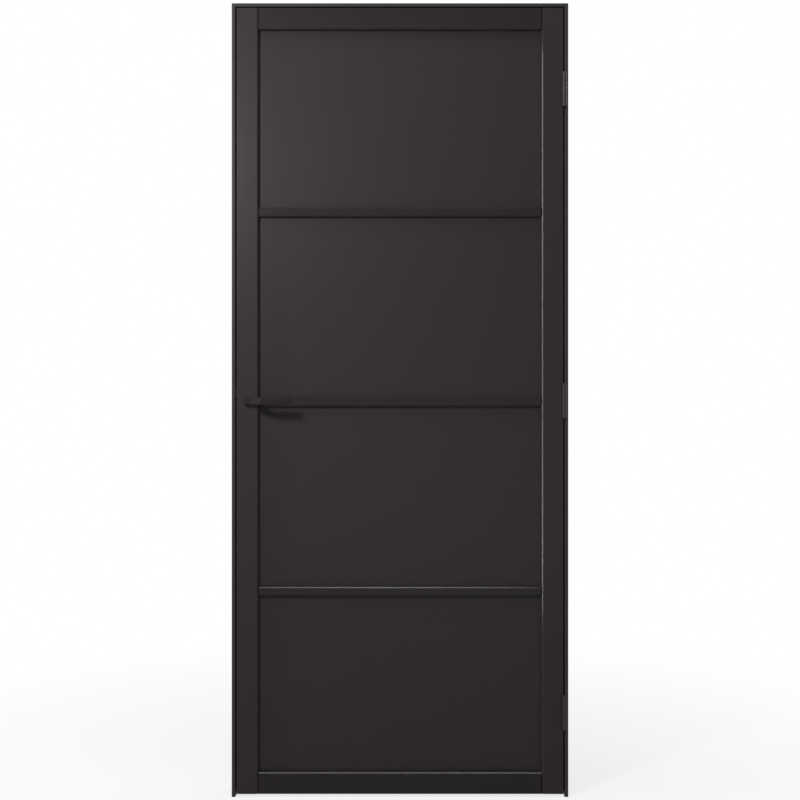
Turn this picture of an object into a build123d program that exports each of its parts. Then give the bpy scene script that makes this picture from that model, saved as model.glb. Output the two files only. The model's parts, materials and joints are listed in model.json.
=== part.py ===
from build123d import *
import math
import os

# Panelled door leaf in a slim folded-steel frame, hung on three butt hinges.
# Millimetres. X runs along the width (hinges at +X), the front faces -Y, +Z is up.
# Origin: floor level, middle of the leaf's width, middle of the leaf's thickness.

os.makedirs("parts", exist_ok=True)

# Leaf
leaf_width = 880
leaf_height = 2115
leaf_thickness = 40
floor_gap = 8
stile_width = 58
rail_height = 58
bar_height = 25
bar_setback = 1.8
bar_pitch = 511
middle_bar_height = 1055
panel_thickness = 12
groove_depth = 8
panel_play = 1.5
tongue_play = 0.5
edge_chamfer = 3
outer_ease = 1

# Dowels in the leaf's joints
rail_dowel_r = 5
rail_dowel_length = 80
rail_dowel_spacing = 26
bar_dowel_r = 3
bar_dowel_length = 60
dowel_in_stile = 25
dowel_clearance = 0.05

# Frame
side_gap = 3
frame_face = 10
frame_depth = 95
frame_sheet = 2
bend_inner_r = 0.5
stop_width = 15
stop_gap = 2
return_lip = 11
seal_width = 9
seal_inset = 3
seal_edge = 0.6
seal_clearance = 0.3
fixing_r = 4.25
fixing_inset = 25
fixing_count = 4
fixing_end = 180
fixing_top_end = 266

# Corner cleats
cleat_leg = 60
cleat_sheet = 3
cleat_width = 36
cleat_screw_r = 2.5
cleat_screw_head_r = 4.6
cleat_screw_count = 2
cleat_screw_first = 18
cleat_screw_pitch = 26

# Hinges
hinge_height = 89
hinge_depth = 30
hinge_corner_r = 6
hinge_end = 220
knuckle_r = 6
knuckle_clearance = 0.5
pin_r = 3.5
pin_clearance = 0.05
pin_head_r = 5
pin_head = 2.5
plug_length = 6
knuckle_count = 5
bearing_height = 2
bearing_play = 0.15
hinge_screw_r = 2.3
hinge_screw_head_r = 4.4
hinge_screw_length = 32
hinge_screw_clearance = 0.05
hinge_screw_depth_shares = (0.36, 0.70, 0.70, 0.36)
hinge_screw_height_shares = (0.14, 0.38, 0.62, 0.86)
backing_sheet = 4
backing_margin = 14
backing_back_margin = 7
backing_front_inset = 3

# Lock
spindle_height = 1057
backset = 30
case_thickness = 15
case_wall = 1.5
case_behind = 13
case_above = 44
case_below = 30
mortise_play = 0.5
faceplate_thickness = 3
faceplate_width = 20
faceplate_above = 76
faceplate_below = 60
faceplate_screw_r = 2
faceplate_screw_head_r = 3.8
faceplate_screw_length = 26
faceplate_screw_inset = 9
latch_throw = 9
latch_width = 11
latch_nose_share = 0.25
latch_height = 24
latch_low = 13
latch_head = 14
latch_play = 0.4
tail_width = 6
tail_height = 4.5
lug_thickness = 2.5
lug_height = 6
lug_clearance = 0.3
lever_turn_deg = 35
hub_r = 8
hub_play = 0.3
collar_r = 6.8
collar_clearance = 0.08
finger_half_width = 1.75
finger_tip_r = 3
finger_thickness = 7
spring_r = 3
spring_wire = 0.8
spring_turns = 7
spring_seat_gap = 0.1

# Levers
spindle_side = 8
spindle_fit = 0.05
bush_flange_r = 11
bush_flange = 2
bush_r = 9.5
bush_length = 10
boss_r = 7.5
boss_clearance = 0.08
boss_reach = 8
neck_length = 6
lever_height = 17.4
lever_thickness = 9
lever_edge_r = 1
lever_tail = 9
lever_first_run = 10
lever_neck_deg = 50
lever_reach = 114
lever_projection = 56
lever_bend_r = 9
lever_socket_end = 3
set_screw_r = 2

# Strike
strike_height = 74
strike_width = 30
strike_corner_r = 4
strike_room_front = 1
strike_room_back = 2.5
strike_room_end = 2
strike_box_wall = 1
strike_box_depth = 8
strike_flange_margin = 8
strike_flange = 1.5
strike_screw_r = 2
strike_screw_head_r = 3.8
strike_screw_inset = 8

overrun = 5

# Places worked out from the sizes above
leaf_side = leaf_width / 2
leaf_front = leaf_thickness / 2
leaf_top = floor_gap + leaf_height
opening_side = leaf_side - stile_width
groove_side = opening_side + groove_depth
rebate_side = leaf_side + side_gap
rebate_top = leaf_top + side_gap
stop_y = leaf_front + stop_gap
frame_back = frame_depth - leaf_front
bend_outer_r = bend_inner_r + frame_sheet
hinge_plate = frame_sheet
axis_x = leaf_side + side_gap / 2
axis_y = -leaf_front - knuckle_r - knuckle_clearance
middle_bar_z = floor_gap + middle_bar_height
bar_zs = [middle_bar_z + bar_pitch, middle_bar_z, middle_bar_z - bar_pitch]
hinge_zs = [leaf_top - hinge_end, (leaf_top + floor_gap) / 2, floor_gap + hinge_end]
spindle_x = -leaf_side + backset
spindle_z = floor_gap + spindle_height
case_front = -leaf_side + faceplate_thickness
case_back = spindle_x + case_behind
case_inner_y = case_thickness / 2 - case_wall
finger_r = latch_throw / (2 * math.sin(math.radians(lever_turn_deg / 2)))
finger_rise = finger_r * math.cos(math.radians(lever_turn_deg / 2))
finger_side = latch_throw / 2
lug_x = spindle_x - finger_side + finger_tip_r + lug_clearance
tail_z = spindle_z + latch_low + lug_height
latch_z = spindle_z + latch_low + latch_height / 2
latch_back = -leaf_side + latch_head
fixing_y = frame_back - fixing_inset
fixing_pitch = (rebate_top - fixing_top_end - fixing_end) / (fixing_count - 1)


def save(name, solid):
    solids = solid.solids()
    export_step(solids[0] if len(solids) == 1 else Compound(children=list(solids)), f"parts/{name}.step")


def block(x0, x1, y0, y1, z0, z1):
    middle = ((x0 + x1) / 2, (y0 + y1) / 2, (z0 + z1) / 2)
    return Pos(*middle) * Box(abs(x1 - x0), abs(y1 - y0), abs(z1 - z0))


def along_x(x, y, z, sign=1):
    # A frame whose own +Z points along +X or -X.
    return Plane(origin=(x, y, z), x_dir=(0, 1, 0), z_dir=(sign, 0, 0))


def along_y(x, y, z, sign=1):
    # A frame whose own +Z points along +Y or -Y.
    return Plane(origin=(x, y, z), x_dir=(1, 0, 0), z_dir=(0, sign, 0))


def rod(plane, radius, length):
    return extrude(plane * Circle(radius), amount=length)


def countersunk(head_r, shank_r, length):
    # A countersunk screw: flat head face at z = 0, the shank runs to -length.
    cone = head_r - shank_r
    profile = Polyline((0, 0), (head_r, 0), (shank_r, -cone), (shank_r, -length), (0, -length), close=True)
    return revolve(Plane.XZ * make_face(profile), Axis.Z)


def mirrored(shape):
    return mirror(shape, about=Plane.YZ)


# Leaf: stiles, rails, bars and panels

def grooved_outline(width, thickness, grooves):
    # Section of a stile, rail or bar: width runs along X, thickness along Y, the
    # inner edge at +X (and at -X with two grooves) is chamfered and grooved, and a
    # plain outer edge has its arrises eased.
    half = width / 2
    face = thickness / 2
    cheek = panel_thickness / 2
    floor = half - groove_depth
    edge = [
        (half - edge_chamfer, -face),
        (half, -face + edge_chamfer),
        (half, -cheek),
        (floor, -cheek),
        (floor, cheek),
        (half, cheek),
        (half, face - edge_chamfer),
        (half - edge_chamfer, face),
    ]
    plain = [
        (-half + outer_ease, face),
        (-half, face - outer_ease),
        (-half, -face + outer_ease),
        (-half + outer_ease, -face),
    ]
    far = [(-x, -y) for x, y in edge] if grooves == 2 else plain
    return make_face(Polyline(*edge, *far, close=True))


def stile_blank():
    # The hinge stile: its groove faces -X.
    section = mirrored(grooved_outline(stile_width, leaf_thickness, 1))
    middle = leaf_side - stile_width / 2
    return extrude(Pos(middle, 0, floor_gap) * section, amount=leaf_height)


def cross_member(height, thickness, z, groove_sign):
    # A rail or bar across the leaf: its long section meets a plan with a tongue at each end.
    # groove_sign +1 grooves the top, -1 the bottom and 0 both.
    section = grooved_outline(height, thickness, 2 if groove_sign == 0 else 1)
    turn = Plane(origin=(0, 0, z), x_dir=(0, 0, groove_sign or 1), z_dir=(-(groove_sign or 1), 0, 0))
    long_bar = extrude(turn * section, amount=leaf_side, both=True)
    face = thickness / 2
    cheek = panel_thickness / 2
    tip = groove_side - tongue_play
    shoulder = [
        (opening_side - edge_chamfer, -face),
        (opening_side, -face + edge_chamfer),
        (opening_side, -cheek),
        (tip, -cheek),
        (tip, cheek),
        (opening_side, cheek),
        (opening_side, face - edge_chamfer),
        (opening_side - edge_chamfer, face),
    ]
    plan = make_face(Polyline(*shoulder, *[(-x, -y) for x, y in shoulder], close=True))
    return long_bar & extrude(Pos(0, 0, z) * plan, amount=height, both=True)


def panel(low, high):
    # A flat panel between two members, reaching into their grooves with play.
    bite = groove_depth - panel_play
    side = opening_side + bite
    cheek = panel_thickness / 2
    return block(-side, side, -cheek, cheek, low - bite, high + bite)


def rail_dowel_places():
    places = []
    for rail_z in (leaf_top - rail_height / 2, floor_gap + rail_height / 2):
        away = groove_depth / 2 if rail_z > middle_bar_z else -groove_depth / 2
        for side in (-1, 1):
            for offset in (-rail_dowel_spacing / 2, rail_dowel_spacing / 2):
                places.append((side, rail_z + away + offset))
    return places


def bar_dowel_places():
    # The lock case stands behind the middle bar's lock end, so no dowel is there.
    return [(side, z) for z in bar_zs for side in (-1, 1) if not (side < 0 and z == middle_bar_z)]


def dowels(places, radius, length):
    far = groove_side + dowel_in_stile
    return [rod(along_x(side * far, 0, z, -side), radius, length) for side, z in places]


# Hinges

def hinge_outline():
    # The plate of a hinge seen along X: own X is depth from the leaf's face, own Y is height.
    plate = Pos(hinge_depth / 2, 0) * Rectangle(hinge_depth, hinge_height)
    far = plate.vertices().sort_by(Axis.X)[-2:]
    return fillet(far, hinge_corner_r)


def hinge_slab(x, z, thickness):
    # The plate's outline at the leaf's front face, thickened towards +X.
    place = Plane(origin=(x, -leaf_front, z), x_dir=(0, 1, 0), z_dir=(1, 0, 0))
    return extrude(place * hinge_outline(), amount=thickness)


def hinge_screw_places(z):
    low = z - hinge_height / 2
    shares = zip(hinge_screw_depth_shares, hinge_screw_height_shares)
    return [(-leaf_front + d * hinge_depth, low + h * hinge_height) for d, h in shares]


def knuckle_levels():
    # Bottom and top of the knuckles above the hinge's lower end, with a bearing
    # above the lowest and below the highest.
    joints = knuckle_count - 1
    height = (hinge_height - 2 * bearing_height - joints * bearing_play) / knuckle_count
    levels = []
    low = 0
    for number in range(knuckle_count):
        levels.append((low, low + height))
        low = low + height + bearing_play
        if number in (0, joints - 1):
            low = low + bearing_height
    return levels


def hinge_leaf(z, plate_x, numbers):
    low = z - hinge_height / 2
    body = hinge_slab(plate_x, z, hinge_plate)
    for number in numbers:
        bottom, top = knuckle_levels()[number]
        axis = Plane(origin=(axis_x, axis_y, low + bottom))
        body += rod(axis, knuckle_r, top - bottom)
        body += block(plate_x, plate_x + hinge_plate, axis_y, -leaf_front, low + bottom, low + top)
    bore = Plane(origin=(axis_x, axis_y, low - overrun))
    return body - rod(bore, pin_r + pin_clearance, hinge_height + 2 * overrun)


def hinge_pin(z):
    # Shaft from above the bottom plug to a flat head that rests on the top knuckle.
    low = z - hinge_height / 2 + plug_length
    top = z + hinge_height / 2
    shaft = rod(Plane(origin=(axis_x, axis_y, low)), pin_r, top - low)
    head = rod(Plane(origin=(axis_x, axis_y, top)), pin_head_r, pin_head)
    return shaft + head


def hinge_plug(z):
    low = z - hinge_height / 2
    shaft = rod(Plane(origin=(axis_x, axis_y, low)), pin_r, plug_length)
    head = rod(Plane(origin=(axis_x, axis_y, low - pin_head)), pin_head_r, pin_head)
    return shaft + head


def hinge_bearings(z):
    low = z - hinge_height / 2
    levels = knuckle_levels()
    bottoms = [levels[0][1], levels[-1][0] - bearing_height]
    washers = []
    for bottom in bottoms:
        place = Plane(origin=(axis_x, axis_y, low + bottom))
        ring = Circle(knuckle_r) - Circle(pin_r + pin_clearance)
        washers.append(extrude(place * ring, amount=bearing_height))
    return washers


def hinge_screws(x, sign, length, clearance=0):
    # Heads lie in the plate's outer face and the shanks run towards sign * X.
    screw = countersunk(hinge_screw_head_r + clearance, hinge_screw_r + clearance, length + clearance)
    places = [place for z in hinge_zs for place in hinge_screw_places(z)]
    return [along_x(x, y, z, -sign).location * screw for y, z in places]


# Frame

def parallel_points(points, distance):
    # The right-hand parallel of a path whose corners are all square.
    steps = [(b - a).normalized() for a, b in zip(points, points[1:])]
    sides = [Vector(step.Y, -step.X) for step in steps]
    first = points[0] + sides[0] * distance
    corners = [p + (a + b) * distance for p, a, b in zip(points[1:], sides, sides[1:])]
    last = points[-1] + sides[-1] * distance
    return [first, *corners, last]


def frame_section():
    # Folded section: own X is the distance outside the rebate face, own Y is the depth.
    front = -leaf_front
    seen = [
        Vector(frame_face, front + return_lip),
        Vector(frame_face, front),
        Vector(0, front),
        Vector(0, stop_y),
        Vector(-stop_width, stop_y),
        Vector(-stop_width, frame_back),
        Vector(frame_face, frame_back),
        Vector(frame_face, frame_back - return_lip),
    ]
    outward = [bend_outer_r, bend_outer_r, bend_inner_r, bend_outer_r, bend_outer_r, bend_outer_r]
    inward = [bend_inner_r, bend_inner_r, bend_outer_r, bend_inner_r, bend_inner_r, bend_inner_r]
    skin = FilletPolyline(*seen, radius=outward)
    back = FilletPolyline(*parallel_points(seen, frame_sheet), radius=inward)
    ends = [Line(skin @ 0, back @ 0), Line(skin @ 1, back @ 1)]
    return make_face([skin, back, *ends])


def mitre(side):
    return Plane(origin=(side * rebate_side, 0, rebate_top), z_dir=(-side, 0, 1))


def jamb_blank():
    # The hinge jamb, from the floor to its mitre with the head.
    long_jamb = extrude(Pos(rebate_side, 0, 0) * frame_section(), amount=rebate_top + frame_face)
    return split(long_jamb, bisect_by=mitre(1), keep=Keep.BOTTOM)


def head_blank():
    place = Plane(origin=(0, 0, rebate_top), x_dir=(0, 0, 1), z_dir=(-1, 0, 0))
    long_head = extrude(place * frame_section(), amount=rebate_side + frame_face, both=True)
    half = split(long_head, bisect_by=mitre(1), keep=Keep.TOP)
    return split(half, bisect_by=mitre(-1), keep=Keep.TOP)


def fixing_zs():
    return [fixing_end + number * fixing_pitch for number in range(fixing_count)]


def fixing_drills():
    start = rebate_side - stop_width - overrun
    depth = frame_sheet + 2 * overrun
    return [rod(along_x(start, fixing_y, z), fixing_r, depth) for z in fixing_zs()]


def corner_cleat():
    # An angle behind the mitre of the hinge side, both legs on the soffit sheet's hidden face.
    corner = frame_sheet - stop_width
    outline = Polyline(
        (corner - cleat_leg, corner),
        (corner, corner),
        (corner, corner - cleat_leg),
        (corner + cleat_sheet, corner - cleat_leg),
        (corner + cleat_sheet, corner + cleat_sheet),
        (corner - cleat_leg, corner + cleat_sheet),
        close=True,
    )
    middle = (stop_y + frame_back) / 2
    place = Plane(origin=(rebate_side, middle, rebate_top), x_dir=(1, 0, 0), z_dir=(0, -1, 0))
    return extrude(place * make_face(outline), amount=cleat_width / 2, both=True)


def cleat_screws(clearance=0):
    # Screws through each leg of the hinge side's cleat.
    length = frame_sheet + cleat_sheet
    screw = countersunk(cleat_screw_head_r + clearance, cleat_screw_r + clearance, length + clearance)
    middle = (stop_y + frame_back) / 2
    side = rebate_side - stop_width
    top = rebate_top - stop_width
    placed = []
    for number in range(cleat_screw_count):
        step = cleat_screw_first + number * cleat_screw_pitch
        placed.append(along_x(side, middle, top - step, -1).location * screw)
        placed.append(Plane(origin=(side - step, middle, top), z_dir=(0, 0, -1)).location * screw)
    return placed


def seal_section():
    # Own X runs along the stop face, own Y from the stop towards the leaf.
    crown = stop_gap - seal_clearance
    half = seal_width / 2
    arch = ThreePointArc((half, seal_edge), (0, crown), (-half, seal_edge))
    base = Polyline((-half, seal_edge), (-half, 0), (half, 0), (half, seal_edge))
    return make_face([arch, base])


def jamb_seal():
    x = rebate_side - seal_inset - seal_width / 2
    top = rebate_top - seal_inset - seal_width
    place = Plane(origin=(x, stop_y, 0), x_dir=(-1, 0, 0), z_dir=(0, 0, 1))
    return extrude(place * seal_section(), amount=top)


def head_seal():
    z = rebate_top - seal_inset - seal_width / 2
    place = Plane(origin=(0, stop_y, z), x_dir=(0, 0, 1), z_dir=(1, 0, 0))
    return extrude(place * seal_section(), amount=rebate_side - seal_inset, both=True)


def backing_plate(z):
    x = rebate_side + frame_sheet
    front = -leaf_front + backing_front_inset
    back = -leaf_front + hinge_depth + backing_back_margin
    half = hinge_height / 2 + backing_margin
    return block(x, x + backing_sheet, front, back, z - half, z + half)


# Strike on the lock jamb

def strike_outline(margin=0):
    outline = Rectangle(strike_width, strike_height + 2 * margin)
    return fillet(outline.vertices(), strike_corner_r)


def strike_slab(x, thickness, margin=0):
    return extrude(along_x(x, 0, latch_z, -1) * strike_outline(margin), amount=thickness)


def strike_room(x, depth, wall=0):
    # The space the latch drops into, from x towards the wall.
    front = -latch_width / 2 - strike_room_front - wall
    back = latch_width / 2 + strike_room_back + wall
    half = latch_height / 2 + strike_room_end + wall
    return block(x, x - depth, front, back, latch_z - half, latch_z + half)


def strike_screw_zs():
    reach = strike_height / 2 - strike_screw_inset
    return [latch_z - reach, latch_z + reach]


def strike_screws(clearance=0):
    length = frame_sheet + strike_flange
    screw = countersunk(strike_screw_head_r + clearance, strike_screw_r + clearance, length + clearance)
    return [along_x(-rebate_side, 0, z).location * screw for z in strike_screw_zs()]


def strike_box():
    # A pressed tray behind the strike plate, with a flange welded to the jamb's hidden face.
    seat = -rebate_side - frame_sheet
    tray = strike_slab(seat, strike_flange, strike_flange_margin)
    tray += strike_room(seat, strike_box_depth, strike_box_wall)
    return tray - strike_room(seat + overrun, strike_box_depth - strike_box_wall + overrun)


# Lock in the lock stile

def lock_tray():
    # Five walls, open towards the cover at the front.
    low = spindle_z - case_below
    high = spindle_z + case_above
    half = case_thickness / 2
    shell = block(case_front, case_back, -half + case_wall, half, low, high)
    room = block(
        case_front + case_wall,
        case_back - case_wall,
        -half,
        half - case_wall,
        low + case_wall,
        high - case_wall,
    )
    return shell - room - latch_window(case_front - overrun, overrun + case_wall + overrun) - collar_drill()


def lock_cover():
    half = case_thickness / 2
    low = spindle_z - case_below
    plate = block(case_front, case_back, -half, -half + case_wall, low, spindle_z + case_above)
    return plate - collar_drill()


def collar_drill():
    start = -case_thickness / 2 - overrun
    length = case_thickness + 2 * overrun
    return rod(along_y(spindle_x, start, spindle_z), collar_r + collar_clearance, length)


def latch_window(x, depth):
    half_y = latch_width / 2 + latch_play
    half_z = latch_height / 2 + latch_play
    return block(x, x + depth, -half_y, half_y, latch_z - half_z, latch_z + half_z)


def faceplate_slab(thickness):
    # Round-ended plate let into the stile's edge.
    length = faceplate_above + faceplate_below
    middle = spindle_z + (faceplate_above - faceplate_below) / 2
    outline = Rot(0, 0, 90) * SlotOverall(length, faceplate_width)
    return extrude(along_x(-leaf_side, 0, middle) * outline, amount=thickness)


def faceplate_screws(clearance=0):
    head_r = faceplate_screw_head_r + clearance
    screw = countersunk(head_r, faceplate_screw_r + clearance, faceplate_screw_length + clearance)
    high = spindle_z + faceplate_above - faceplate_screw_inset
    low = spindle_z - faceplate_below + faceplate_screw_inset
    return [along_x(-leaf_side, 0, z, -1).location * screw for z in (low, high)]


def lock_faceplate():
    plate = faceplate_slab(faceplate_thickness)
    plate -= latch_window(-leaf_side - overrun, faceplate_thickness + 2 * overrun)
    return plate - faceplate_screws(hinge_screw_clearance)


def latch_bolt():
    # Bevelled on the closing side, with a tail and a lug that the follower's finger draws.
    tip = -leaf_side - latch_throw
    half = latch_width / 2
    plan = Polyline(
        (tip, -half),
        (latch_back, -half),
        (latch_back, half),
        (-leaf_side, half),
        (tip, -half + latch_nose_share * latch_width),
        close=True,
    )
    low = latch_z - latch_height / 2
    head = extrude(Pos(0, 0, low) * make_face(plan), amount=latch_height)
    lug_end = lug_x + lug_thickness
    tail = block(latch_back, lug_end, -tail_width / 2, tail_width / 2, tail_z, tail_z + tail_height)
    lug = block(lug_x, lug_end, -tail_width / 2, tail_width / 2, tail_z - lug_height, tail_z)
    return head + tail + lug


def follower():
    # Hub with a square hole and two fingers in line: the upper draws the latch, the
    # lower presses the return spring.
    front = along_y(spindle_x, -case_inner_y + hub_play, spindle_z)
    hub = rod(front, hub_r, 2 * (case_inner_y - hub_play))
    collar = rod(along_y(spindle_x, -case_thickness / 2, spindle_z), collar_r, case_thickness)
    half_turn = lever_turn_deg / 2
    finger = Rectangle(2 * finger_half_width, 2 * finger_r)
    tips = [Pos(0, reach) * Circle(finger_tip_r) for reach in (finger_r, -finger_r)]
    outline = Rot(0, 0, half_turn) * (finger + tips)
    place = Plane(origin=(spindle_x, 0, spindle_z), x_dir=(1, 0, 0), z_dir=(0, -1, 0))
    fingers = extrude(place * outline, amount=finger_thickness / 2, both=True)
    return hub + collar + fingers - square_bar(case_thickness / 2 + overrun, spindle_fit)


def coil(x0, x1, z):
    # Square-wire compression spring along X between two seats.
    length = x1 - x0 - 2 * spring_seat_gap - spring_wire
    pitch = length / spring_turns
    path = Helix(pitch, length, spring_r)
    start = path @ 0
    section = Plane(origin=start, x_dir=(1, 0, 0), z_dir=path % 0) * Rectangle(spring_wire, spring_wire)
    body = sweep(section, path=path, is_frenet=True)
    place = along_x(x0 + spring_seat_gap + spring_wire / 2, 0, z)
    return place.location * body


def latch_spring():
    # Above the tail, from the latch head to the case's back wall.
    gap = (tail_z + tail_height + latch_z + latch_height / 2) / 2
    return coil(latch_back, case_back - case_wall, gap)


def return_spring():
    # From the case's front wall to the follower's lower finger.
    tip = spindle_x + finger_side - finger_tip_r
    return coil(case_front + case_wall, tip - lug_clearance, spindle_z - finger_rise)


# Levers

def square_bar(half_length, fit=0):
    half = spindle_side / 2 + fit
    return block(
        spindle_x - half,
        spindle_x + half,
        -half_length,
        half_length,
        spindle_z - half,
        spindle_z + half,
    )


def lever_base_y():
    return -leaf_front - bush_flange - neck_length


def lever():
    # Flat bar bent outwards from its boss and back parallel to the door, on the front.
    base_y = lever_base_y() - lever_thickness / 2
    grip_y = -leaf_front - lever_projection + lever_thickness / 2
    rise = base_y - grip_y
    bend_x = spindle_x + lever_first_run
    grip_x = bend_x + rise / math.tan(math.radians(lever_neck_deg))
    path = FilletPolyline(
        (spindle_x - lever_tail, base_y, spindle_z),
        (bend_x, base_y, spindle_z),
        (grip_x, grip_y, spindle_z),
        (spindle_x + lever_reach, grip_y, spindle_z),
        radius=lever_bend_r,
    )
    section = RectangleRounded(lever_thickness, lever_height, lever_edge_r)
    bar = sweep(along_x(spindle_x - lever_tail, base_y, spindle_z) * section, path=path)
    boss = rod(along_y(spindle_x, base_y, spindle_z), boss_r, -leaf_front + boss_reach - base_y)
    return bar + boss - lever_socket() - set_screw(hinge_screw_clearance)


def spindle_half():
    return -lever_base_y() + lever_thickness - lever_socket_end


def lever_socket():
    return square_bar(spindle_half(), spindle_fit)


def set_screw(clearance=0):
    # Grub screw from below, through the boss to the spindle.
    y = -leaf_front - bush_flange - neck_length / 2
    top = spindle_z - spindle_side / 2 - spindle_fit
    low = spindle_z - math.sqrt(boss_r ** 2 - set_screw_r ** 2)
    return rod(Plane(origin=(spindle_x, y, low)), set_screw_r + clearance, top - low)


def bush():
    # Flanged bearing pressed into the stile's face.
    flange = rod(along_y(spindle_x, -leaf_front - bush_flange, spindle_z), bush_flange_r, bush_flange)
    sleeve = rod(along_y(spindle_x, -leaf_front, spindle_z), bush_r, bush_length)
    start = -leaf_front - bush_flange - overrun
    bore = rod(along_y(spindle_x, start, spindle_z), boss_r + boss_clearance, bush_length + leaf_thickness)
    return flange + sleeve - bore


def to_back(shape):
    return mirror(shape, about=Plane.XZ)


# Leaf with its recesses

def hinge_stile():
    stile = stile_blank()
    for z in hinge_zs:
        stile -= hinge_slab(leaf_side - hinge_plate, z, hinge_plate + overrun)
    stile -= hinge_screws(leaf_side, -1, hinge_screw_length, hinge_screw_clearance)
    return stile - dowel_drills(1)


def lock_stile():
    stile = mirrored(stile_blank())
    half = case_thickness / 2 + mortise_play
    low = spindle_z - case_below - mortise_play
    high = spindle_z + case_above + mortise_play
    stile -= block(-leaf_side - overrun, case_back + mortise_play, -half, half, low, high)
    stile -= faceplate_slab(faceplate_thickness)
    stile -= faceplate_screws(hinge_screw_clearance)
    bore = along_y(spindle_x, -leaf_front - overrun, spindle_z)
    stile -= rod(bore, bush_r, leaf_thickness + 2 * overrun)
    return stile - dowel_drills(-1)


def dowel_drills(side):
    rails = [place for place in rail_dowel_places() if place[0] == side]
    bars = [place for place in bar_dowel_places() if place[0] == side]
    wide = dowels(rails, rail_dowel_r + dowel_clearance, rail_dowel_length)
    slim = dowels(bars, bar_dowel_r + dowel_clearance, bar_dowel_length)
    return wide + slim


def drilled(member):
    return member - dowel_drills(1) - dowel_drills(-1)


def jambs_and_head():
    fixings = fixing_drills()
    cleats = cleat_screws(hinge_screw_clearance)
    hinge_jamb = jamb_blank() - fixings - cleats
    lock_jamb = mirrored(hinge_jamb)
    for z in hinge_zs:
        window = hinge_slab(rebate_side, z, hinge_plate)
        hinge_jamb -= window + Pos(0, -overrun, 0) * window
    lock_jamb -= strike_slab(-rebate_side + overrun, frame_sheet + overrun)
    head = head_blank() - cleats - [mirrored(screw) for screw in cleats]
    return hinge_jamb, lock_jamb, head


def together(shapes):
    return Compound(children=[solid for shape in shapes for solid in shape.solids()])


# Write the frame
hinge_jamb, lock_jamb, head = jambs_and_head()
save("hinge_jamb", hinge_jamb)
save("lock_jamb", lock_jamb)
save("head_jamb", head)
hinge_cleat = corner_cleat() - cleat_screws(hinge_screw_clearance)
save("hinge_corner_cleat", hinge_cleat)
save("lock_corner_cleat", mirrored(hinge_cleat))
save("corner_screws", together(cleat_screws() + [mirrored(screw) for screw in cleat_screws()]))
save("hinge_side_seal", jamb_seal())
save("lock_side_seal", mirrored(jamb_seal()))
save("head_seal", head_seal())
strike_plate = strike_slab(-rebate_side, frame_sheet) - strike_room(-rebate_side + overrun, 2 * overrun)
save("strike_plate", strike_plate - strike_screws(hinge_screw_clearance))
save("strike_box", strike_box() - strike_screws(hinge_screw_clearance))
save("strike_screws", together(strike_screws()))

# Write the hinges
frame_knuckles = range(0, knuckle_count, 2)
leaf_knuckles = range(1, knuckle_count, 2)
frame_screw_length = hinge_plate + backing_sheet
frame_screw_drills = hinge_screws(rebate_side, 1, frame_screw_length, hinge_screw_clearance)
leaf_screw_drills = hinge_screws(leaf_side, -1, hinge_screw_length, hinge_screw_clearance)
for name, z in zip(("top", "middle", "bottom"), hinge_zs):
    save(f"{name}_hinge_backing", backing_plate(z) - frame_screw_drills)
    frame_plate = hinge_leaf(z, rebate_side, frame_knuckles)
    leaf_plate = hinge_leaf(z, leaf_side - hinge_plate, leaf_knuckles)
    save(f"{name}_hinge_frame_plate", frame_plate - frame_screw_drills)
    save(f"{name}_hinge_leaf_plate", leaf_plate - leaf_screw_drills)
    save(f"{name}_hinge_pin", hinge_pin(z))
save("hinge_plugs", together([hinge_plug(z) for z in hinge_zs]))
save("hinge_bearings", together([washer for z in hinge_zs for washer in hinge_bearings(z)]))
save("hinge_frame_screws", together(hinge_screws(rebate_side, 1, frame_screw_length)))
save("hinge_leaf_screws", together(hinge_screws(leaf_side, -1, hinge_screw_length)))

# Write the leaf
save("hinge_stile", hinge_stile())
save("lock_stile", lock_stile())
save("top_rail", drilled(cross_member(rail_height, leaf_thickness, leaf_top - rail_height / 2, -1)))
save("bottom_rail", drilled(cross_member(rail_height, leaf_thickness, floor_gap + rail_height / 2, 1)))
bar_thickness = leaf_thickness - 2 * bar_setback
for name, z in zip(("upper", "middle", "lower"), bar_zs):
    save(f"{name}_bar", drilled(cross_member(bar_height, bar_thickness, z, 0)))
tops = [leaf_top - rail_height] + [z - bar_height / 2 for z in bar_zs]
lows = [z + bar_height / 2 for z in bar_zs] + [floor_gap + rail_height]
for name, low, high in zip(("top", "upper", "lower", "bottom"), lows, tops):
    save(f"{name}_panel", panel(low, high))
save("rail_dowels", together(dowels(rail_dowel_places(), rail_dowel_r, rail_dowel_length)))
save("bar_dowels", together(dowels(bar_dowel_places(), bar_dowel_r, bar_dowel_length)))

# Write the lock
save("lock_case", lock_tray())
save("lock_cover", lock_cover())
save("lock_faceplate", lock_faceplate())
save("faceplate_screws", together(faceplate_screws()))
save("lock_follower", follower())
save("latch_bolt", latch_bolt())
save("latch_spring", latch_spring())
save("return_spring", return_spring())

# Write the levers
save("front_lever", lever())
save("back_lever", to_back(lever()))
save("spindle", square_bar(spindle_half()))
save("set_screws", together([set_screw(), to_back(set_screw())]))
save("front_bush", bush())
save("back_bush", to_back(bush()))
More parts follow.
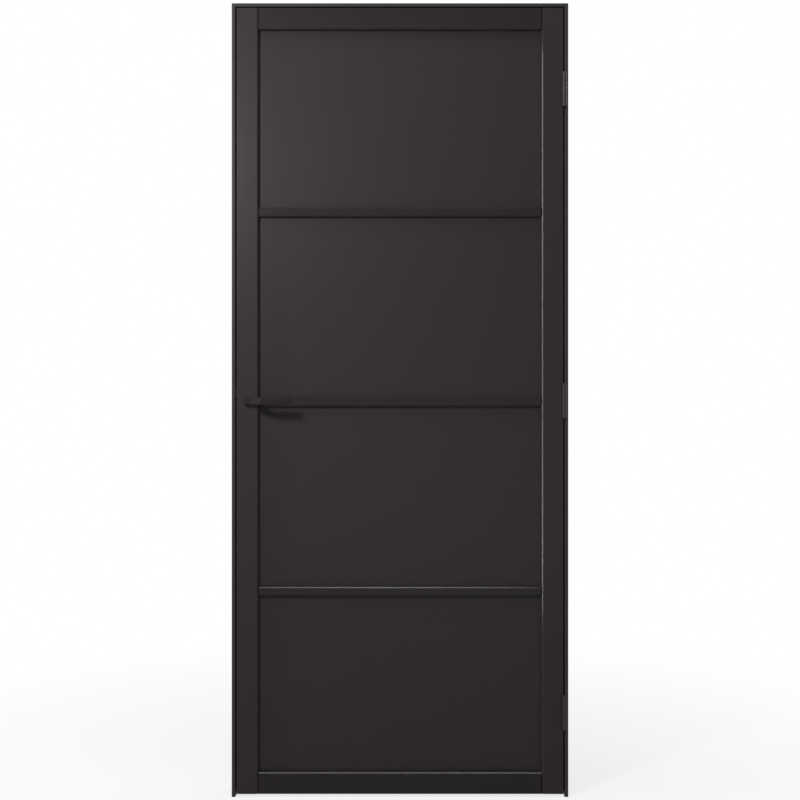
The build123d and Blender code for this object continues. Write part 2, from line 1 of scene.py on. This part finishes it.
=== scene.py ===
import json
import math
import bpy
import bmesh
import numpy as np
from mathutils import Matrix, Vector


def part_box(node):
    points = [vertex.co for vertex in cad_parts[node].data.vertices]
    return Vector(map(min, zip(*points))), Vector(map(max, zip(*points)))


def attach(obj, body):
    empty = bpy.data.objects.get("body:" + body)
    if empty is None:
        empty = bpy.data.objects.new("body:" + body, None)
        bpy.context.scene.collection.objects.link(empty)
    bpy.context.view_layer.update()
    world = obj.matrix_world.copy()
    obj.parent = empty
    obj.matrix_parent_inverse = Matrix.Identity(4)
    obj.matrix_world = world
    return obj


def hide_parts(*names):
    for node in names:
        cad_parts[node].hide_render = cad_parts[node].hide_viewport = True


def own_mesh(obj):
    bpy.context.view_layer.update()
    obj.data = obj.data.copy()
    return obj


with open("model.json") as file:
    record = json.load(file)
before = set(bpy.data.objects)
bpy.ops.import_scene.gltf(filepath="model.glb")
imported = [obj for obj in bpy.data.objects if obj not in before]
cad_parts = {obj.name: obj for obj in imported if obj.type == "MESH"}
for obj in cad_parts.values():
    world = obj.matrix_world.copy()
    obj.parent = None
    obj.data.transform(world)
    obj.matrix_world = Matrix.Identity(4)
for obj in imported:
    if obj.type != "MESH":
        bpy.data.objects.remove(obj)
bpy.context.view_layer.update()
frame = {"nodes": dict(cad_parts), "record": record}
nodes = frame["nodes"]
slotOf = {part["node"]: part["material_slot"] for part in frame["record"]["subparts"]}
studio = bpy.context.scene
studio.view_settings.view_transform = "Standard"
print("frame loaded:", len(nodes), "pieces")


# camera, square to the leaf's front
shot = {
    "distance": 3.2,         # from the leaf's front face
    "pictureHeight": 2.152,  # metres of leaf plane in the picture
    "centreHeight": 1.068,
    "frontFace": -0.020,
    "sensor": 36.0,
}


def setCamera():
    data = bpy.data.cameras.new("camera")
    data.sensor_width = shot["sensor"]
    data.lens = shot["sensor"] * shot["distance"] / shot["pictureHeight"]
    camera = bpy.data.objects.new("camera", data)
    camera.location = (0, shot["frontFace"] - shot["distance"], shot["centreHeight"])
    camera.rotation_euler = (math.pi / 2, 0, 0)
    studio.collection.objects.link(camera)
    studio.camera = camera


setCamera()
print("camera set")


class Wire:  # one output socket; sums and products of wires become Math nodes
    def __init__(self, tree, out):
        self.tree = tree
        self.out = out

    # any node: its type, its settings, its socket values or links, and the output that is picked
    def add(self, kind, settings, sockets, pick=0):
        node = self.tree.nodes.new(kind)
        for key, value in settings.items():
            setattr(node, key, value)
        for key, value in sockets.items():
            if isinstance(value, Wire):
                self.tree.links.new(value.out, node.inputs[key])
            else:
                node.inputs[key].default_value = value
        return Wire(self.tree, node.outputs[pick]) if node.outputs else None

    def math(self, operation, first, second):
        return self.add("ShaderNodeMath", {"operation": operation}, {0: first, 1: second})

    def __add__(self, other):
        return self.math("ADD", self, other)

    def __sub__(self, other):
        return self.math("SUBTRACT", self, other)

    def __rsub__(self, other):
        return self.math("SUBTRACT", other, self)

    def __mul__(self, other):
        return self.math("MULTIPLY", self, other)

    def __truediv__(self, other):
        return self.math("DIVIDE", self, other)

    def above(self, other):
        return self.math("MAXIMUM", self, other)

    def held(self):  # kept between 0 and 1
        return self.math("MINIMUM", self.math("MAXIMUM", self, 0.0), 1.0)

    __radd__ = __add__
    __rmul__ = __mul__


def noise(coords, scale, detail, stretch=None):
    place = coords
    if stretch:
        place = coords.add("ShaderNodeMapping", {}, {"Vector": coords, "Scale": stretch})
    sockets = {"Vector": place, "Scale": scale, "Detail": detail}
    return coords.add("ShaderNodeTexNoise", {}, sockets, "Fac")


def blend(first, second, share):  # share of the first, the rest of the second
    return share * first + (1 - share) * second


def swing(wire, size):  # a noise brought round 0
    return size * (wire - 0.5)


def tint(coords, share, dark, light):  # colour from dark to light as share goes from 0 to 1
    sockets = {0: share, 6: (*dark, 1), 7: (*light, 1)}  # factor and both colours
    return coords.add("ShaderNodeMix", {"data_type": "RGBA"}, sockets, 2)


def shades(colour, spread):
    return [c * (1 - spread) for c in colour], [c * (1 + spread) for c in colour]


def bump(coords, height, depth):
    return coords.add("ShaderNodeBump", {}, {"Height": height, "Distance": depth, "Strength": 1.0})


def newTree(material):
    material.use_nodes = True
    material.node_tree.nodes.clear()
    return Wire(material.node_tree, None)


def surface(name, fixed, paint):  # fixed values sit on the shader's sockets, paint gives the rest
    material = bpy.data.materials.new(name)
    coords = newTree(material).add("ShaderNodeTexCoord", {}, {}, "Object")
    shader = coords.add("ShaderNodeBsdfPrincipled", {}, {**fixed, **paint(coords)})
    coords.add("ShaderNodeOutputMaterial", {}, {"Surface": shader})
    return material


# Noises are written as scale and detail, with a stretch where they have one.

# sprayed lacquer on the leaf: soft cloudy tone, fine orange peel, chamfers rubbed smoother
lacquer = {
    "colour": (0.0285, 0.0236, 0.0252),
    "spread": 0.10,
    "specular": 0.08,
    # painted shade: the one lacquer is copied per piece, and rails and bars are painted about a
    # third darker than panels and stiles
    "paintedShadeTones": {"panel": 0.96, "stile": 0.95, "rail": 0.66, "bar": 0.70},
    "roughness": {"panel": 0.36, "stile": 0.32, "rail": 0.32, "bar": 0.22},
    "chamferRoughness": 0.12,
    "clouds": (2.2, 3.0),
    "mist": (70.0, 4.0),
    "peel": (380.0, 2.0),
    "dust": (1600.0, 1.0),
    "shares": {"clouds": 0.35, "mist": 0.25, "dust": 0.40},
    "swings": {"clouds": 0.08, "mist": 0.06},
    "peelShare": 0.75,
    "peelDepth": 0.000012,
}


def leaning(coords):
    # 4 y y (1 - y y) of the normal: 1 on a chamfer at 45 degrees, 0 on faces and sides
    normal = coords.add("ShaderNodeTexCoord", {}, {}, "Normal")
    ahead = coords.add("ShaderNodeSeparateXYZ", {}, {"Vector": normal}, "Y")
    square = ahead * ahead
    return (4.0 * square * (1.0 - square)).held()


def lacquerFinish(kind):
    # the piece's tone carries the painted shade on rails and bars
    tone = [c * lacquer["paintedShadeTones"][kind] for c in lacquer["colour"]]
    flat, shares, swings = lacquer["roughness"][kind], lacquer["shares"], lacquer["swings"]

    def paint(coords):
        keys = ("clouds", "mist", "peel", "dust")
        clouds, mist, peel, dust = (noise(coords, *lacquer[key]) for key in keys)
        share = shares["clouds"] * clouds + shares["mist"] * mist + shares["dust"] * dust
        rough = flat + (lacquer["chamferRoughness"] - flat) * leaning(coords)
        return {
            "Base Color": tint(coords, share.held(), *shades(tone, lacquer["spread"])),
            "Roughness": rough + swing(clouds, swings["clouds"]) + swing(mist, swings["mist"]),
            "Normal": bump(coords, blend(peel, dust, lacquer["peelShare"]), lacquer["peelDepth"]),
        }

    return surface(kind + "Lacquer", {"Specular IOR Level": lacquer["specular"]}, paint)


# powder coat: a fine even sand, duller than the lacquer
powder = {
    "frame": {
        "colour": (0.0262, 0.0214, 0.0228), "roughness": 0.50, "specular": 0.16,
        "sand": 950.0, "depth": 0.00004,
    },
    "hinge": {
        "colour": (0.0240, 0.0192, 0.0205), "roughness": 0.42, "specular": 0.20,
        "sand": 1300.0, "depth": 0.00002,
    },
    "lever": {
        "colour": (0.0198, 0.0166, 0.0177), "roughness": 0.50, "specular": 0.03,
        "sand": 1500.0, "depth": 0.000012,
    },
}
powder["plate"] = powder["hinge"]
powderGrain = {
    "clouds": (6.0, 3.0),
    "sandDetail": 3.0,
    "gritDetail": 2.0,
    "gritScale": 0.3,  # of the sand's
    "spread": 0.10,
    "cloudShare": 0.5,
    "sandShare": 0.7,
    "cloudSwing": 0.10,
    "sandSwing": 0.12,
}


def powderFinish(kind):
    look, grain = powder[kind], powderGrain

    def paint(coords):
        clouds = noise(coords, *grain["clouds"])
        sand = noise(coords, look["sand"], grain["sandDetail"])
        grit = noise(coords, look["sand"] * grain["gritScale"], grain["gritDetail"])
        share = blend(clouds, sand, grain["cloudShare"]).held()
        rough = look["roughness"] + swing(clouds, grain["cloudSwing"])
        return {
            "Base Color": tint(coords, share, *shades(look["colour"], grain["spread"])),
            "Roughness": rough + swing(sand, grain["sandSwing"]),
            "Normal": bump(coords, blend(sand, grit, grain["sandShare"]), look["depth"]),
        }

    return surface(kind + "PowderCoat", {"Specular IOR Level": look["specular"]}, paint)


# bare metals: drawn or rolled lines along one axis, faint clouding
metals = {
    "zinc": {
        "colour": (0.42, 0.425, 0.43), "roughness": 0.42,
        "stretch": (60, 60, 3), "depth": 0.00001,
    },
    "nickel": {
        "colour": (0.090, 0.085, 0.080), "roughness": 0.30,
        "stretch": (4, 90, 90), "depth": 0.000008,
    },
    "spring": {
        "colour": (0.42, 0.42, 0.43), "roughness": 0.32,
        "stretch": (40, 40, 40), "depth": 0.000008,
    },
    "oxide": {
        "colour": (0.030, 0.029, 0.030), "roughness": 0.38,
        "stretch": (50, 50, 50), "depth": 0.00001,
    },
}
metalGrain = {
    "clouds": (45.0, 3.0),
    "lines": (18.0, 3.0),
    "spread": 0.12,
    "cloudShare": 0.5,
    "swing": 0.12,
}


def metalFinish(kind):
    look, grain = metals[kind], metalGrain

    def paint(coords):
        clouds = noise(coords, *grain["clouds"])
        lines = noise(coords, *grain["lines"], look["stretch"])
        share = blend(clouds, lines, grain["cloudShare"]).held()
        rough = look["roughness"] + swing(clouds, grain["swing"])
        return {
            "Base Color": tint(coords, share, *shades(look["colour"], grain["spread"])),
            "Roughness": rough + swing(lines, grain["swing"]),
            "Normal": bump(coords, lines, look["depth"]),
        }

    return surface(kind + "Metal", {"Metallic": 1.0}, paint)


# extruded rubber seal: matt, with a fine grain and a little bloom
rubber = {
    "colour": (0.018, 0.017, 0.017),
    "spread": 0.25,
    "specular": 0.3,
    "roughness": 0.72,
    "swing": 0.14,
    "bloom": (30.0, 4.0),
    "grain": (900.0, 2.0),
    "depth": 0.00002,
}


def rubberFinish():
    def paint(coords):
        bloom = noise(coords, *rubber["bloom"])
        grain = noise(coords, *rubber["grain"])
        return {
            "Base Color": tint(coords, bloom, *shades(rubber["colour"], rubber["spread"])),
            "Roughness": rubber["roughness"] + swing(bloom, rubber["swing"]),
            "Normal": bump(coords, grain, rubber["depth"]),
        }

    return surface("sealRubber", {"Specular IOR Level": rubber["specular"]}, paint)


# plain beech dowels, grain along the width
beech = {
    "dark": (0.40, 0.24, 0.125),
    "light": (0.56, 0.38, 0.21),
    "roughness": 0.6,
    "swing": 0.2,
    "grain": (22.0, 4.0, (1.0, 14.0, 14.0)),
    "flecks": (260.0, 2.0, (0.25, 1.0, 1.0)),
    "grainShare": 0.7,
    "depth": 0.00008,
}


def beechFinish():
    def paint(coords):
        grain = noise(coords, *beech["grain"])
        flecks = noise(coords, *beech["flecks"])
        share = blend(grain, flecks, beech["grainShare"]).held()
        return {
            "Base Color": tint(coords, share, beech["dark"], beech["light"]),
            "Roughness": beech["roughness"] + swing(grain, beech["swing"]),
            "Normal": bump(coords, flecks, beech["depth"]),
        }

    return surface("beechDowel", {}, paint)


leafFinishes = {kind: lacquerFinish(kind) for kind in lacquer["paintedShadeTones"]}
finishes = {
    "frame_coat": powderFinish("frame"),
    "hinge_coat": powderFinish("hinge"),
    "lever_coat": powderFinish("lever"),
    "plate_coat": powderFinish("plate"),
    "screw_black": metalFinish("oxide"),
    "zinc_steel": metalFinish("zinc"),
    "latch_steel": metalFinish("nickel"),
    "spring_steel": metalFinish("spring"),
    "seal_rubber": rubberFinish(),
    "dowel_wood": beechFinish(),
}


def dressNodes():
    for name, piece in nodes.items():
        slot = slotOf[name]
        kind = name.split("_")[-1]
        finish = leafFinishes[kind] if slot == "leaf_lacquer" else finishes[slot]
        piece.data.materials.clear()
        piece.data.materials.append(finish)


dressNodes()
print("finishes laid on:", len(bpy.data.materials))


# shared by the pieces that follow
meshing = {
    "weld": 1e-6,
    "digits": 6,           # to which corner points are the same
    "sharpDegrees": 34.0,
    "upright": 0.9,        # z share above which an axis counts as upright
}


def gridQuads(rows, columns):  # corner numbers of a grid's quads, the columns run round and join
    i = np.arange(rows - 1)[:, None]
    j = np.arange(columns)[None, :]
    after = (j + 1) % columns
    below = i * columns
    above = (i + 1) * columns
    return np.stack([below + j, below + after, above + after, above + j], -1).reshape(-1, 4)


def makePiece(name, grids, body, slot, replaced):
    starts = np.cumsum([0] + [grid.shape[0] * grid.shape[1] for grid in grids])
    points = np.concatenate([grid.reshape(-1, 3) for grid in grids])
    quads = [gridQuads(*grid.shape[:2]) + start for grid, start in zip(grids, starts)]
    mesh = bpy.data.meshes.new(name)
    mesh.from_pydata(points.tolist(), [], np.concatenate(quads).tolist())
    work = bmesh.new()
    work.from_mesh(mesh)
    bmesh.ops.remove_doubles(work, verts=work.verts, dist=meshing["weld"])  # closes the poles
    bmesh.ops.recalc_face_normals(work, faces=work.faces)
    work.to_mesh(mesh)
    work.free()
    mesh.shade_smooth()
    mesh.set_sharp_from_angle(angle=math.radians(meshing["sharpDegrees"]))
    mesh.materials.append(finishes[slot])
    piece = bpy.data.objects.new(name, mesh)
    studio.collection.objects.link(piece)
    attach(piece, body)
    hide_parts(*replaced)
    return piece


def islands(name):  # the corner points of each separate solid in a node
    mesh = nodes[name].data
    points = np.empty(len(mesh.vertices) * 3)
    mesh.vertices.foreach_get("co", points)
    points = np.round(points.reshape(-1, 3), meshing["digits"])
    spots, which = np.unique(points, axis=0, return_inverse=True)
    loops = np.empty(len(mesh.loops), int)
    mesh.loops.foreach_get("vertex_index", loops)
    faces = which.reshape(-1)[loops.reshape(-1, 3)]
    label = np.arange(len(spots))
    while True:  # the lowest label spreads over each solid
        low = label[faces].min(1)
        spread = label.copy()
        np.minimum.at(spread, faces.reshape(-1), np.repeat(low, 3))
        if (spread == label).all():
            break
        label = spread
    return [spots[label == one] for one in np.unique(label)]


def turned(profile, columns):  # (r, z) pairs carried round the z axis, x = r cos a, y = r sin a
    r, z = np.array(profile, float).T
    a = np.linspace(0, 2 * np.pi, columns, endpoint=False)
    return np.stack([r[:, None] * np.cos(a), r[:, None] * np.sin(a), z[:, None] + 0 * a], -1)


def roundedEdge(r, z, ease, steps):  # quarter arc from the face at z to the side at r
    a = np.linspace(0, np.pi / 2, steps)
    return list(zip(r - ease + ease * np.sin(a), z - ease + ease * np.cos(a)))


def ramp(value, soft):  # from 0 to 1 as value goes from 0 to soft, s s (3 - 2 s)
    share = np.clip(value / soft, 0, 1)
    return share * share * (3 - 2 * share)


def stood(grid, centre, axis, spin):  # the grid's own z axis laid along axis, spun about it
    axis = np.array(axis, float)
    upright = abs(axis[2]) >= meshing["upright"]
    side = np.cross(axis, (0, 1.0, 0) if upright else (0, 0, 1.0))
    up = np.cross(axis, side)
    u = math.cos(spin) * side + math.sin(spin) * up
    v = np.cross(axis, u)
    return np.asarray(centre) + grid[..., :1] * u + grid[..., 1:2] * v + grid[..., 2:] * axis


# countersunk screws with a cross recess
screwShape = {  # shares of the head's radius
    "recess": 0.60,
    "arm": 0.13,
    "depth": 0.42,
    "ease": 0.035,
    "soft": 0.09,  # run of the recess's side walls
}
screwForm = {
    "rise": 0.55,      # share by which the recess gets shallower at its reach
    "tip": 0.5,        # share of the shank's radius
    "columns": 48,
    "faceRows": 14,
    "rimSteps": 4,
    "sameLevel": 1e-5,
}
screwSpin = {"first": 0.35, "step": 1.1, "cornerFirst": 0.5, "cornerStep": 1.0}  # no two set alike
screwGroups = {
    "hinge_leaf_screws": {"body": "leaf", "face": (1, 0, 0)},
    "hinge_frame_screws": {"body": "frame", "face": (-1, 0, 0)},
    "faceplate_screws": {"body": "leaf", "face": (-1, 0, 0)},
    "strike_screws": {"body": "frame", "face": (1, 0, 0)},
}


def screwGrid(headR, shankR, length):
    # head face, sunk by deep inside a cross of two arms, then cone, shank and blunt tip
    keys = ("recess", "arm", "depth", "ease", "soft")
    reach, half, deep, ease, soft = (headR * screwShape[key] for key in keys)
    tip = shankR * screwForm["tip"]
    face = [(r, 0.0) for r in np.linspace(0, headR - ease, screwForm["faceRows"])]
    rim = roundedEdge(headR, 0.0, ease, screwForm["rimSteps"])[1:]
    cone = [(shankR, -ease - (headR - shankR))]
    shank = [(shankR, -length + tip), (tip, -length), (0, -length)]
    grid = turned(face + rim + cone + shank, screwForm["columns"])
    x, y = np.abs(grid[..., 0]), np.abs(grid[..., 1])

    def arm(along, across):
        return ramp(reach - along, 2 * soft) * ramp(half + soft / 2 - across, soft)

    sunk = np.maximum(arm(x, y), arm(y, x))
    top = np.arange(grid.shape[0])[:, None] < screwForm["faceRows"]
    slope = 1 - screwForm["rise"] * np.hypot(x, y) / reach
    grid[..., 2] -= np.where(top, sunk * deep * np.clip(slope, 0, 1), 0)
    return grid


def screwAt(points, face, spin):
    face = np.array(face, float)
    along = points @ face
    head = points[along > along.max() - screwForm["sameLevel"]]
    tip = points[along < along.min() + screwForm["sameLevel"]]
    centre = (head.min(0) + head.max(0)) / 2

    def widest(some):  # greatest distance from the screw's axis
        away = some - centre
        return np.linalg.norm(away - np.outer(away @ face, face), axis=1).max()

    return stood(screwGrid(widest(points), widest(tip), np.ptp(along)), centre, face, spin)


def cornerFace(points):  # shorter than its head is wide, so its axis is its short side
    if np.ptp(points[:, 0]) < np.ptp(points[:, 2]):
        return (-np.sign(points[:, 0].mean()), 0, 0)
    return (0, 0, -1)


def makeScrews():
    for name, group in screwGroups.items():
        solids = islands(name)
        spins = screwSpin["first"] + screwSpin["step"] * np.arange(len(solids))
        grids = [screwAt(points, group["face"], spin) for points, spin in zip(solids, spins)]
        makePiece(name + ".fine", grids, group["body"], "screw_black", [name])
    solids = islands("corner_screws")
    spins = screwSpin["cornerFirst"] + screwSpin["cornerStep"] * np.arange(len(solids))
    grids = [screwAt(points, cornerFace(points), spin) for points, spin in zip(solids, spins)]
    makePiece("corner_screws.fine", grids, "frame", "screw_black", ["corner_screws"])
    print("screws made")


makeScrews()


# hinge pins and plugs with eased button heads
pinShape = {
    "axis": (0.4415, -0.0265),
    "shaftR": 0.0035,
    "headR": 0.0050,
    "head": 0.0025,
    "ease": 0.0011,
    "tip": 0.0004,
    "easeSteps": 6,
    "columns": 40,
}


def pinGrid(low, high, headUp):
    keys = ("shaftR", "headR", "head", "ease", "tip")
    r, headR, head, ease, tip = (pinShape[key] for key in keys)
    length = high - low
    profile = [(0, length)] + roundedEdge(headR, length, ease, pinShape["easeSteps"])
    profile += [(headR, length - head), (r, length - head), (r, tip), (r - tip, 0), (0, 0)]
    grid = turned(profile, pinShape["columns"])
    if not headUp:
        grid[..., 2] = length - grid[..., 2]
    return grid + np.array([*pinShape["axis"], low])


def makePins():
    for place in ("top", "middle", "bottom"):
        name = place + "_hinge_pin"
        low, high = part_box(name)
        pin = pinGrid(low[2], high[2], True)
        makePiece(name + ".fine", [pin], "frame", "hinge_coat", [name])
    plugs = [pinGrid(p[:, 2].min(), p[:, 2].max(), False) for p in islands("hinge_plugs")]
    makePiece("hinge_plugs.fine", plugs, "frame", "hinge_coat", ["hinge_plugs"])
    print("hinge pins made")


makePins()


# coil springs in the lock, wound close at both ends
springShape = {
    "wire": 0.0004,  # radius
    "turns": 7,
    "perTurn": 28,
    "round": 10,
    "closed": 0.6,   # turns wound close at each end
    "opening": 0.8,  # turns over which they open
}
springs = {
    "latch_spring": {"joint": "latch_slide", "fixed": 1, "travel": 0.0090},
    "return_spring": {"joint": "handle_turn", "fixed": 0, "travel": 0.0091},
}


def springGrid(low, high):
    # wire carried along (x, r cos a, r sin a), a = 2 pi turns u
    # x climbs one wire a turn at both ends, faster between
    wire, turns = springShape["wire"], springShape["turns"]
    u = np.linspace(0, 1, turns * springShape["perTurn"] + 1)
    mid = (u[1:] + u[:-1]) / 2
    fromEnd = turns * np.minimum(mid, 1 - mid)
    opened = ramp(fromEnd - springShape["closed"], springShape["opening"])
    climb = np.concatenate([[0], np.cumsum(opened)]) / opened.sum()
    rest = high[0] - low[0] - 2 * wire * (turns + 1)
    a = 2 * np.pi * turns * u
    out = np.stack([0 * a, np.cos(a), np.sin(a)], -1)
    middle = (np.array(low) + np.array(high)) / 2
    line = np.array([0, middle[1], middle[2]]) + ((high[1] - low[1]) / 2 - wire) * out
    line[:, 0] = low[0] + wire + 2 * wire * turns * u + rest * climb
    along = np.gradient(line, axis=0)
    across = np.cross(along / np.linalg.norm(along, axis=1)[:, None], out)
    rows = np.concatenate([[0], np.arange(len(u)), [len(u) - 1]])  # first and last close the ends
    thick = np.full((len(rows), 1, 1), wire)
    thick[0] = thick[-1] = 0
    v = np.linspace(0, 2 * np.pi, springShape["round"], endpoint=False)[:, None]
    ring = np.cos(v) * out[rows, None] + np.sin(v) * across[rows, None]
    return line[rows, None] + thick * ring


def makeSprings():
    for name, spring in springs.items():
        low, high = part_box(name)
        piece = makePiece(name + ".fine", [springGrid(low, high)], "leaf", "spring_steel", [name])
        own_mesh(piece)
    print("springs made")


makeSprings()


# lever: a flat bar bent out from its boss and back parallel to the leaf
leverShape = {
    "path": [(-0.4190, -0.0325), (-0.4000, -0.0325), (-0.36728, -0.0715), (-0.2960, -0.0715)],
    "height": 0.0174,
    "thickness": 0.0090,
    "edge": 0.0010,
    "cornerSteps": 6,
    "endEase": 0.9,  # share of the edge
    "endSteps": 6,
    "bend": 0.0090,
    "bendSteps": 14,
    "centre": 1.065,
}
bossShape = {
    "r": 0.0075,
    "spindle": -0.410,
    "from": -0.0325,
    "to": -0.0120,
    "chamfer": 0.0006,
    "columns": 48,
}


def bentPath(corners, radius, steps):
    # straight runs joined by arcs: each corner is cut back by radius * tan(turn / 2)
    corners = np.array(corners, float)
    pieces = [corners[:1]]
    for before, corner, after in zip(corners, corners[1:], corners[2:]):
        a = (corner - before) / np.linalg.norm(corner - before)
        b = (after - corner) / np.linalg.norm(after - corner)
        turn = math.atan2(a[0] * b[1] - a[1] * b[0], a @ b)
        start = corner - a * radius * math.tan(abs(turn) / 2)
        side = np.array([-a[1], a[0]]) * np.sign(turn)
        t = np.linspace(0, abs(turn), steps)[:, None]
        pieces.append(start + radius * (np.sin(t) * a + (1 - np.cos(t)) * side))
    pieces.append(corners[-1:])
    return np.concatenate(pieces)


def roundedBox(halfA, halfB, corner, steps):  # outline with quarter-round corners
    a = np.linspace(0, np.pi / 2, steps)
    turns = np.concatenate([a + k * np.pi / 2 for k in range(4)])
    signs = np.repeat([(1, 1), (-1, 1), (-1, -1), (1, -1)], steps, axis=0)
    arcs = corner * np.stack([np.cos(turns), np.sin(turns)], -1)
    return signs * (halfA - corner, halfB - corner) + arcs


def leverGrid():
    # rounded-box outline carried along the bent path, drawn in over a quarter arc at both ends
    shape, steps = leverShape, leverShape["endSteps"]
    halfA, halfB, edge = shape["thickness"] / 2, shape["height"] / 2, shape["edge"]
    path = bentPath(shape["path"], shape["bend"], shape["bendSteps"])
    along = np.gradient(path, axis=0)
    along[1:-1] = path[2:] - path[:-2]
    along /= np.linalg.norm(along, axis=1)[:, None]
    ease = edge * shape["endEase"]
    t = np.linspace(0, np.pi / 2, steps)
    shifts, insets = ease * (1 - np.cos(t)), ease * (1 - np.sin(t))
    first = path[0] + shifts[:, None] * along[0]
    last = path[-1] - shifts[::-1, None] * along[-1]
    spine = np.concatenate([path[:1], first, path[1:-1], last, path[-1:]])
    starts, ends = (np.repeat(one, steps + 1, 0) for one in (along[:1], along[-1:]))
    heading = np.concatenate([starts, along[1:-1], ends])
    inset = np.concatenate([[0], insets, np.zeros(len(path) - 2), insets[::-1], [0]])
    across = np.stack([-heading[:, 1], heading[:, 0]], -1)
    rings = [roundedBox(halfA - d, halfB - d, edge - d, shape["cornerSteps"]) for d in inset]
    rings = np.stack(rings)
    rings[0] = rings[-1] = 0  # both ends close to a point on the flat
    flat = spine[:, None, :] + rings[..., :1] * across[:, None, :]
    return np.concatenate([flat, shape["centre"] + rings[..., 1:]], -1)


def bossGrid():
    r, cut, length = bossShape["r"], bossShape["chamfer"], bossShape["to"] - bossShape["from"]
    profile = [(0, 0), (r, 0), (r, -length + cut), (r - cut, -length), (0, -length)]
    grid = turned(profile, bossShape["columns"])
    centre = (bossShape["spindle"], bossShape["from"], leverShape["centre"])
    return stood(grid, centre, (0, -1, 0), 0.0)


def makeLevers():
    for name, side in (("front_lever", 1), ("back_lever", -1)):
        grids = [grid * (1, side, 1) for grid in (leverGrid(), bossGrid())]
        makePiece(name + ".fine", grids, "handle", "lever_coat", [name])
    print("levers made")


makeLevers()


# pale floor, white to the eye away from the object and keeping its shadow near it
floorShape = {
    "half": 30.0,
    "colour": (0.72, 0.72, 0.72),
    "fadeStart": 0.5,
    "fadeRun": 1.6,
    "glow": 0.78,
}
white = {"Color": (1, 1, 1, 1), "Strength": 1.0}


def seenDirectly(start):  # 1 for camera, glossy and transmission rays
    kinds = ("Is Camera Ray", "Is Glossy Ray", "Is Transmission Ray")
    rays = [start.add("ShaderNodeLightPath", {}, {}, kind) for kind in kinds]
    return rays[0].above(rays[1]).above(rays[2])


def makeFloor():
    half, glow = floorShape["half"], floorShape["glow"]
    corners = [(-half, -half, 0), (half, -half, 0), (half, half, 0), (-half, half, 0)]
    mesh = bpy.data.meshes.new("floor")
    mesh.from_pydata(corners, [], [(0, 1, 2, 3)])
    floor = bpy.data.objects.new("floor", mesh)
    studio.collection.objects.link(floor)
    material = bpy.data.materials.new("paleFloor")
    start = newTree(material)
    place = start.add("ShaderNodeTexCoord", {}, {}, "Object")
    away = place.add("ShaderNodeVectorMath", {"operation": "LENGTH"}, {0: place}, "Value")
    fade = ((away - floorShape["fadeStart"]) / floorShape["fadeRun"]).held()
    share = seenDirectly(start) * (glow + (1 - glow) * fade)
    plain = start.add("ShaderNodeBsdfDiffuse", {}, {"Color": (*floorShape["colour"], 1)})
    bright = start.add("ShaderNodeEmission", {}, white)
    mixed = start.add("ShaderNodeMixShader", {}, {0: share, 1: plain, 2: bright})
    start.add("ShaderNodeOutputMaterial", {}, {"Surface": mixed})
    mesh.materials.append(material)


makeFloor()


# studio light: a key, three strips that the chamfers mirror as fine lines, and weak fills
ambient = {"colour": (1.0, 0.985, 0.975), "strength": 0.11}
lamps = {
    "leftKey": {
        "at": (-1.12, -1.66, 2.05), "aim": (-0.20, 0.0, 1.35),
        "size": (0.36, 0.36), "radiance": 94.0,
    },
    "leftStrip": {
        "at": (-2.4, -0.36, 1.4), "aim": (0.38, -0.03, 1.3),
        "size": (0.10, 2.8), "radiance": 30.0,
    },
    "barStrip": {
        "at": (-0.10, -0.54, 3.9), "aim": (-0.05, -0.02, 0.56),
        "size": (1.6, 0.11), "radiance": 27.0,
    },
    "railStrip": {
        "at": (0.0, -1.19, 3.9), "aim": (0.0, -0.02, 0.07),
        "size": (2.0, 0.11), "radiance": 26.0,
    },
    "lowFill": {
        "at": (0.35, -2.96, 0.55), "aim": (0.05, 0.0, 0.70),
        "size": (1.4, 0.8), "radiance": 1.2,
    },
    "backFill": {
        "at": (1.6, 3.2, 2.4), "aim": (0.0, 0.0, 1.1),
        "size": (2.4, 2.0), "radiance": 3.2,
    },
    "rightFill": {
        "at": (3.4, 0.9, 1.9), "aim": (0.4, 0.0, 1.1),
        "size": (1.6, 2.0), "radiance": 2.4,
    },
}


def makeWorld():
    world = bpy.data.worlds.new("studio")
    studio.world = world
    start = newTree(world)
    dim = {"Color": (*ambient["colour"], 1), "Strength": ambient["strength"]}
    room = start.add("ShaderNodeBackground", {}, dim)
    backdrop = start.add("ShaderNodeBackground", {}, white)
    sockets = {0: seenDirectly(start), 1: room, 2: backdrop}
    mixed = start.add("ShaderNodeMixShader", {}, sockets)
    start.add("ShaderNodeOutputWorld", {}, {"Surface": mixed})


def makeLamps():
    for name, lamp in lamps.items():
        width, height = lamp["size"]
        data = bpy.data.lights.new(name, "AREA")
        data.shape = "RECTANGLE"
        data.size, data.size_y = width, height
        data.energy = lamp["radiance"] * math.pi * width * height
        piece = bpy.data.objects.new(name, data)
        line = np.array(lamp["aim"]) - np.array(lamp["at"])
        line /= np.linalg.norm(line)
        turn = math.atan2(line[1], line[0]) - math.pi / 2
        piece.location = lamp["at"]
        piece.rotation_euler = (math.acos(-line[2]), 0, turn)
        piece.visible_camera = False
        studio.collection.objects.link(piece)
    print("lights set:", len(lamps))


makeWorld()
makeLamps()

print("done")
